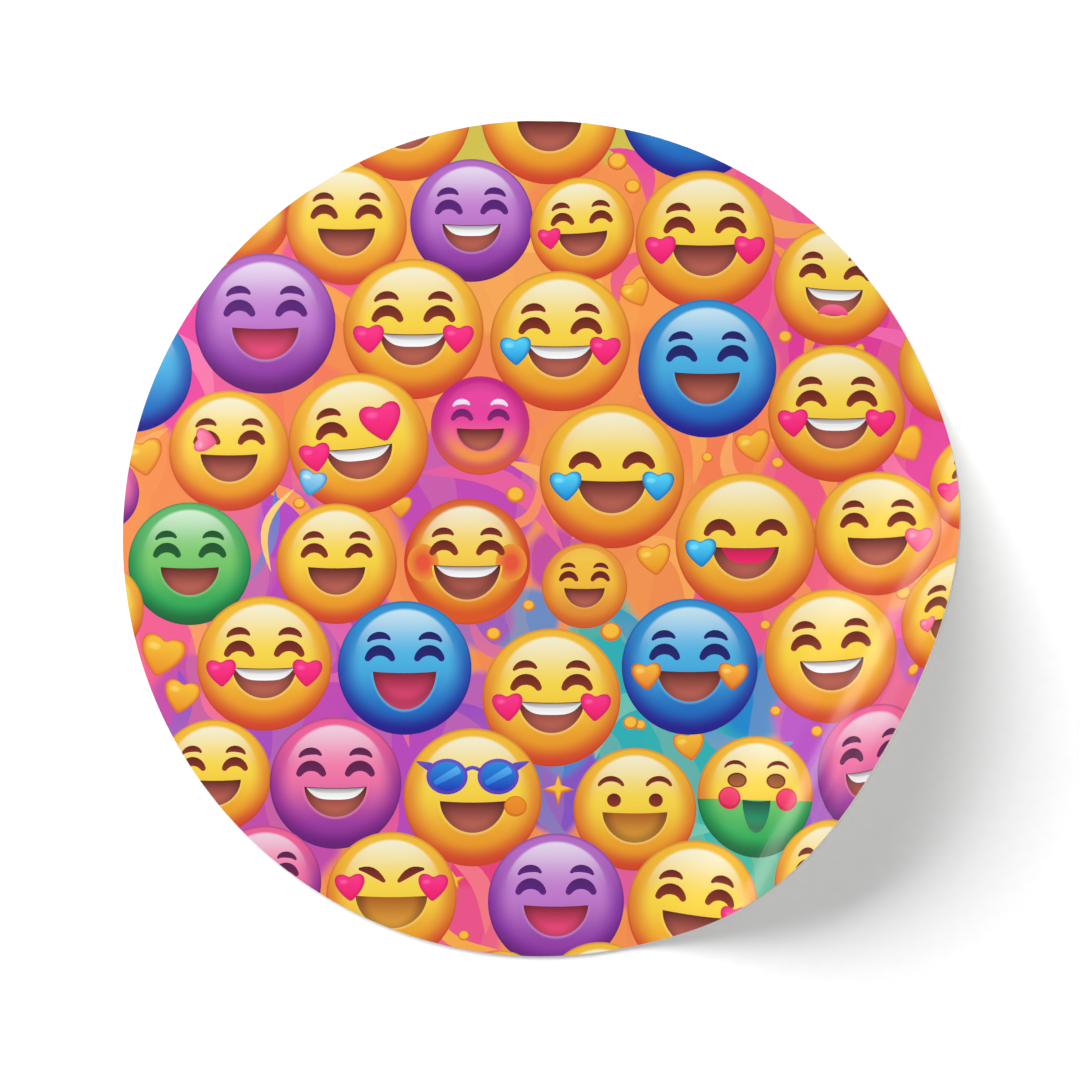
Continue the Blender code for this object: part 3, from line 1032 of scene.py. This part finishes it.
def paintCorner(loop, shape, ballMap, inkLayer):
    # gives one corner its place in its ball and, on a feature, the mix of its two inks
    x, y, size, tilt = shape["ball"]
    px, py = toPrint(loop.vert.co.x / mm, loop.vert.co.y / mm)
    dx, dy = (px - x) / size, (py - y) / size
    c, s = math.cos(tilt), math.sin(tilt)
    ownX, ownY = dx * c + dy * s, dy * c - dx * s
    loop[ballMap].uv = (ownX, ownY)
    if shape["top"]:
        share = (shape["high"] - ownY) / (shape["high"] - shape["low"])
        loop[inkLayer] = blendPair(shape["top"], shape["bottom"], min(max(share, 0), 1))


def faceStretch(stretch, start, faces):
    # one stretch of the printed face: vinyl with its print under the clear laminate
    name, end = stretch[0], stretch[1]
    bm = bmesh.new()
    ballMap = bm.loops.layers.uv.new("ballPlace")
    inkLayer = bm.loops.layers.float_color.new("inkColour")
    made = {}
    for k in faces:
        corners = []
        for index in flatFaces[k]:
            if index not in made:
                place = flatCorners[index]
                made[index] = bm.verts.new((place.x * mm, place.y * mm, laminateHigh))
            corners.append(made[index])
        face = bm.faces.new(corners)
        top = max(coveredBy[k])
        if top == 0:
            face.material_index = backSlot
            continue
        shape = printShapes[top - 1]
        face.material_index = inkSlots[shape["kind"]]
        for loop in face.loops:
            paintCorner(loop, shape, ballMap, inkLayer)
    # the walls of the laminate and vinyl take the grey edge inks, which are painted shade
    pushDown(bm, laminateHigh - laminateLow, clearEdgeSlot)
    pushDown(bm, laminateLow - filmLow, vinylEdgeSlot)
    rim = [edge for edge in bm.edges if edge.is_boundary]
    back = bmesh.ops.holes_fill(bm, edges=rim, sides=0)["faces"]
    for face in onLines(bm, facetsBetween(start, end), back):
        face.material_index = vinylBackSlot
    piece = finishPiece(f"printed_face_{name}", bm, faceMaterials)
    bendPiece(piece)
    return piece


def layerStretch(name, low, high, start, end, materials, slots=(0, 0, 0)):
    # one plain layer of the round sheet between two cross lines. Slots are for its under, rim and upper faces
    bm = bmesh.new()
    bmesh.ops.create_circle(bm, cap_ends=True, segments=sheetDetail["rimPoints"], radius=discRadius)
    bmesh.ops.translate(bm, verts=bm.verts, vec=(0, 0, low))
    for line, side in ((start, -1), (end, 1)):
        if abs(line) < discRadius:
            bmesh.ops.bisect_plane(bm, geom=bm.verts[:] + bm.edges[:] + bm.faces[:], dist=tiny,
                                   plane_co=(line, 0, 0), plane_no=(side, 0, 0), clear_outer=True)
    onLines(bm, facetsBetween(start, end), bm.faces[:])
    under = bm.faces[:]
    raised = bmesh.ops.extrude_face_region(bm, geom=bm.faces[:], use_keep_orig=True)["geom"]
    bmesh.ops.translate(bm, verts=ofKind(raised, bmesh.types.BMVert), vec=(0, 0, high - low))
    upper = set(ofKind(raised, bmesh.types.BMFace))
    for face in bm.faces:
        face.material_index = slots[2] if face in upper else slots[1]
    for face in under:
        face.material_index = slots[0]
    return finishPiece(name, bm, materials)


# The CAD stretches that each finished stretch stands for
standsFor = {
    "stuck_end": ["stuck_end"], "peel_bend": ["peel_1"], "middle": ["peel_2", "flat"],
    **{f"curl_{k}": [f"curl_{k}"] for k in range(1, 7)},
}


def linerPiece(name, start, end, node):
    piece = layerStretch(name, linerLow, linerHigh, start, end, linerMaterials, linerSlots)
    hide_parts(node)
    return piece


middles = [sum(flatCorners[index].x for index in face) / len(face) * mm for face in flatFaces]
start = -discRadius
for stretch in stretches:
    name, end = stretch[0], stretch[1]
    faces = [k for k, middle in enumerate(middles) if start < middle < end and 0 in coveredBy[k]]
    facePiece = faceStretch(stretch, start, faces)
    gluePiece = layerStretch(f"glue_{name}", adhesiveLow, adhesiveHigh, start, end, [glue])
    bendPiece(gluePiece)
    for node in standsFor[name]:
        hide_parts(f"film_{node}", f"laminate_{node}")
        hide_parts(f"adhesive_{node}")
    if name.startswith("curl"):
        bendPiece(linerPiece(f"liner_tab_{name}", start, end, f"liner_tab_{name}"))
    print("stretch %s: %d print triangles" % (name, len(faces)))
    start = end

tabStart = min(v.co.dot(across) for v in frame["nodes"]["liner_tab_flat"].data.vertices)
tabEnd = curlFolds[0] - stripWidth / 2
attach(linerPiece("liner_tab_middle", tabStart, tabEnd, "liner_tab_flat"), "sticker")
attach(linerPiece("liner_main_sheet", -discRadius, slitAt, "liner_main"), "backing")


# Floor, light and camera

studio = {
    "floorHalf": 4.0,
    "floorTones": ("#F4F4F4", "#F6F6F6"),
    "floorSpecks": 900,  # to the metre
    "floorRoughness": 0.9,
    "floorShine": 0.1,
    "boxDistance": 1.0,
    "room": 0.4,
}
# Softboxes: watts, width and height, the direction round the print and up in degrees, what they light,
# and whether the gloss shows them. The long low key is flagged off the print, which has a steeper box.
softboxes = {
    "keyLight": {"power": 19.0, "size": (1.25, 0.45), "turn": 125, "rise": 27, "lights": "floor"},
    "printLight": {"power": 3.15, "size": (0.3, 0.3), "turn": 150, "rise": 60, "lights": "print",
                   "distance": 0.6},
    "fillLight": {"power": 1.7, "size": (0.3, 0.3), "turn": -40, "rise": 50, "lights": "all"},
    "streakLight": {"power": 2.5, "size": (1.0, 0.24), "turn": 153, "rise": 20, "lights": "all",
                    "gloss": True},
}


def floorMaterial():
    material, tree, shader = newMaterial("paleFloor")
    place = tree.nodes.new("ShaderNodeTexCoord")
    speck = tree.nodes.new("ShaderNodeTexNoise")
    tree.links.new(place.outputs["Object"], speck.inputs["Vector"])
    speck.inputs["Scale"].default_value = studio["floorSpecks"]
    tone = fade(tree, speck.outputs["Fac"], 0.2, 0.8)
    dress(tree, shader, {
        "Base Color": blendInk(tree, tone, *(ink(code) for code in studio["floorTones"])),
        "Roughness": studio["floorRoughness"],
        "Specular IOR Level": studio["floorShine"],
    })
    return material


def makeFloor():
    bm = bmesh.new()
    bmesh.ops.create_grid(bm, x_segments=1, y_segments=1, size=studio["floorHalf"])
    mesh = bpy.data.meshes.new("floor")
    bm.to_mesh(mesh)
    bm.free()
    mesh.materials.append(floorMaterial())
    floor = addObject("floor", mesh)
    return floor


def softbox(name, look, floor):
    data = bpy.data.lights.new(name, "AREA")
    data.shape = "RECTANGLE"
    data.size, data.size_y = look["size"]
    data.energy = look["power"]
    lamp = addObject(name, data)
    a, e = math.radians(look["turn"]), math.radians(look["rise"])
    away = Vector((math.cos(a) * math.cos(e), math.sin(a) * math.cos(e), math.sin(e)))
    lamp.location = away * look.get("distance", studio["boxDistance"])
    lamp.rotation_euler = away.to_track_quat("Z", "Y").to_euler()
    lamp.visible_glossy = look.get("gloss", False)
    if look["lights"] != "all":
        lit = bpy.data.collections.new(f"{name}Reach")
        lit.objects.link(floor)
        if look["lights"] == "print":
            lit.collection_objects[0].light_linking.link_state = "EXCLUDE"
        lamp.light_linking.receiver_collection = lit


def makeLight(floor):
    world = bpy.data.worlds.new("softRoom")
    bpy.context.scene.world = world
    world.use_nodes = True
    world.node_tree.nodes["Background"].inputs["Color"].default_value = (1, 1, 1, 1)
    world.node_tree.nodes["Background"].inputs["Strength"].default_value = studio["room"]
    for name, look in softboxes.items():
        softbox(name, look, floor)
    bpy.context.scene.view_settings.view_transform = "Standard"


lookDown = {"distance": 3.06, "right": -0.0014, "up": -0.0036, "halfWidth": 1.2925}  # in disc radii


def makeCamera():
    data = bpy.data.cameras.new("camera")
    data.sensor_width = 36
    data.lens = data.sensor_width / 2 * lookDown["distance"] / lookDown["halfWidth"]
    data.clip_start = 0.001
    data.clip_end = 10
    camera = addObject("camera", data)
    camera.location = (discRadius * lookDown["right"], discRadius * lookDown["up"],
                       laminateHigh + discRadius * lookDown["distance"])
    bpy.context.scene.camera = camera


makeLight(makeFloor())
makeCamera()
print("studio ready")
